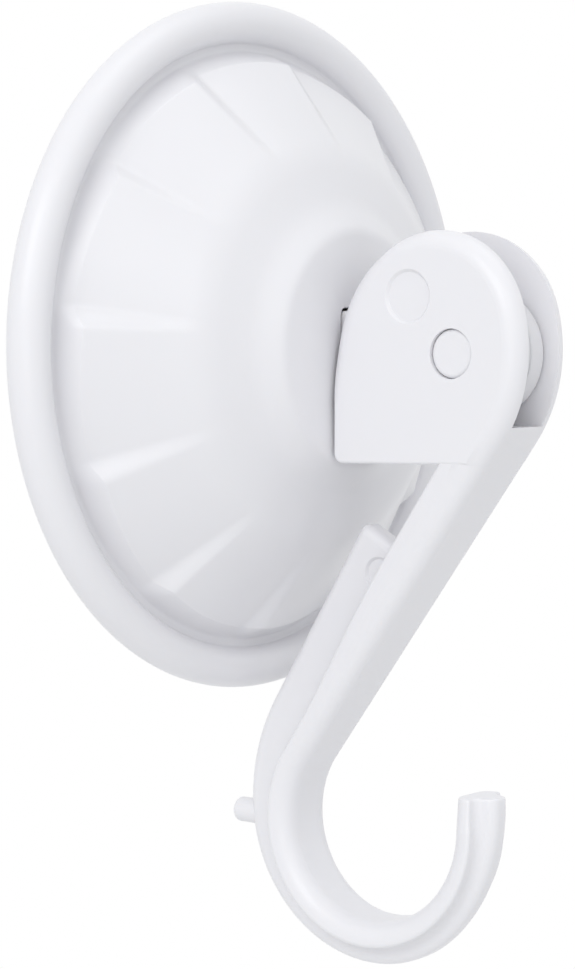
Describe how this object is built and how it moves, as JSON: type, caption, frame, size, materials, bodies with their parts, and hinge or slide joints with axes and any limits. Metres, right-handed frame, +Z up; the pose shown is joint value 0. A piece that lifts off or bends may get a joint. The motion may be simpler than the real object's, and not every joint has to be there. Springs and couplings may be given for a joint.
{
  "type": "suction cup hook",
  "caption": "Lever-lock suction hook: a soft cup under a ribbed round cover, with a cam lever that ends in a J-shaped hook.",
  "frame": {"origin": "centre of the cup's sealing face, in the plane of the wall", "axes": "+Y into the wall, so the hook stands out towards -Y; +Z up, with the hook hanging down"},
  "size_m": [0.0846, 0.0457, 0.1168],
  "materials": {
    "cover_plastic": "glossy white moulded plastic",
    "soft_plastic": "smooth white soft plastic",
    "pin_plastic": "glossy white moulded plastic",
    "lever_plastic": "glossy white moulded plastic"
  },
  "bodies": {
    "cup": {"suction_cup": "soft_plastic", "hinge_pin": "pin_plastic"},
    "lever": {"hook_lever": "lever_plastic"},
    "cover": {"dish_cover": "cover_plastic"}
  },
  "joints": [
    {"name": "lever_hinge", "type": "hinge", "parent": "cup", "child": "lever", "pos_m": [0, -0.0365, -0.0006], "axis": [-1, 0, 0], "range_deg": [0, 90]},
    {"name": "cover_slide", "type": "slide", "parent": "cup", "child": "cover", "axis": [0, -1, 0], "range_m": [0, 0.0018]}
  ],
  "couplings": [
    {"joint": "cover_slide", "follows": "lever_hinge", "m_per_rad": 0.001145}
  ]
}
